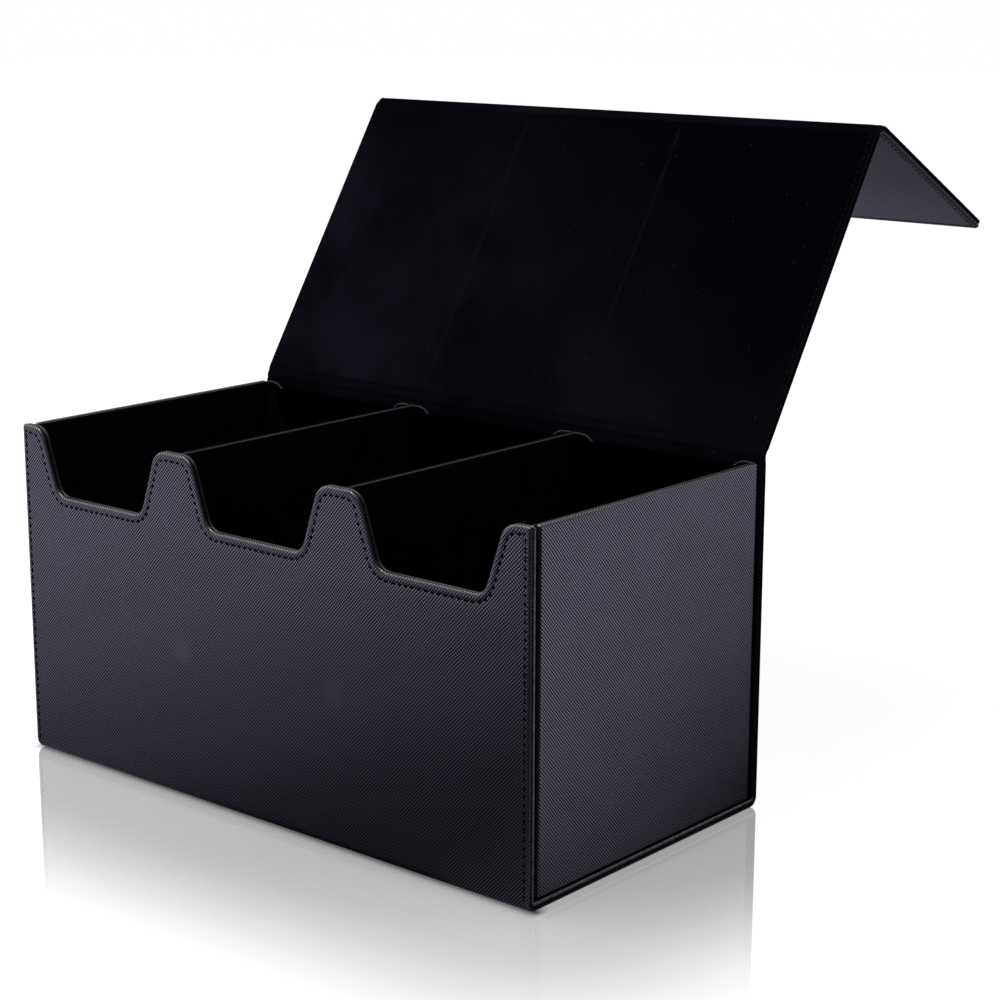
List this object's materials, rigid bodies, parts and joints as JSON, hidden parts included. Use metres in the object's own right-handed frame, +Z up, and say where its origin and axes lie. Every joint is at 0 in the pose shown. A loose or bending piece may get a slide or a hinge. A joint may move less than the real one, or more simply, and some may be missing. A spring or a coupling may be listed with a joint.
{
  "type": "graded card storage box",
  "caption": "Leather-covered box with suede-lined rows for cards in hard cases, finger cut-outs in its front wall, a lid hinged at the back and a folding magnetic front flap.",
  "frame": {"origin": "on the floor, under the middle of the box without its open lid", "axes": "+X to the right seen from the front, +Y from the front to the back, +Z up"},
  "size_m": [0.29, 0.322, 0.2809],
  "materials": {
    "twill_leather": "satin",
    "suede": "matte",
    "grey_board": "matte",
    "magnet": "satin"
  },
  "bodies": {
    "box": {"back_board": "grey_board", "back_leather": "twill_leather", "back_lining": "suede", "base_board": "grey_board", "base_leather": "twill_leather", "base_lining": "suede", "front_board": "grey_board", "front_leather": "twill_leather", "front_lining": "suede", "front_magnets": "magnet", "left_divider_board": "grey_board", "left_divider_sleeve": "suede", "left_side_board": "grey_board", "left_side_leather": "twill_leather", "left_side_lining": "suede", "lid_hinge_leather": "twill_leather", "lid_hinge_lining": "suede", "rear_panel_board": "grey_board", "rear_panel_suede": "suede", "right_divider_board": "grey_board", "right_divider_sleeve": "suede", "right_side_board": "grey_board", "right_side_leather": "twill_leather", "right_side_lining": "suede"},
    "lid": {"flap_hinge_leather": "twill_leather", "flap_hinge_lining": "suede", "lid_board": "grey_board", "lid_leather": "twill_leather", "lid_lining": "suede"},
    "flap": {"flap_board": "grey_board", "flap_leather": "twill_leather", "flap_lining": "suede", "flap_magnets": "magnet"}
  },
  "joints": [
    {"name": "lid_hinge", "type": "hinge", "parent": "box", "child": "lid", "pos_m": [0, 0.0741, 0.1519], "axis": [1, 0, 0], "range_deg": [-57.7, 122.3], "deforming": ["lid_hinge_leather", "lid_hinge_lining"]},
    {"name": "flap_hinge", "type": "hinge", "parent": "lid", "child": "flap", "pos_m": [0, 0.15543, 0.28055], "axis": [1, 0, 0], "range_deg": [-38.6, 176.4], "deforming": ["flap_hinge_leather", "flap_hinge_lining"]}
  ]
}
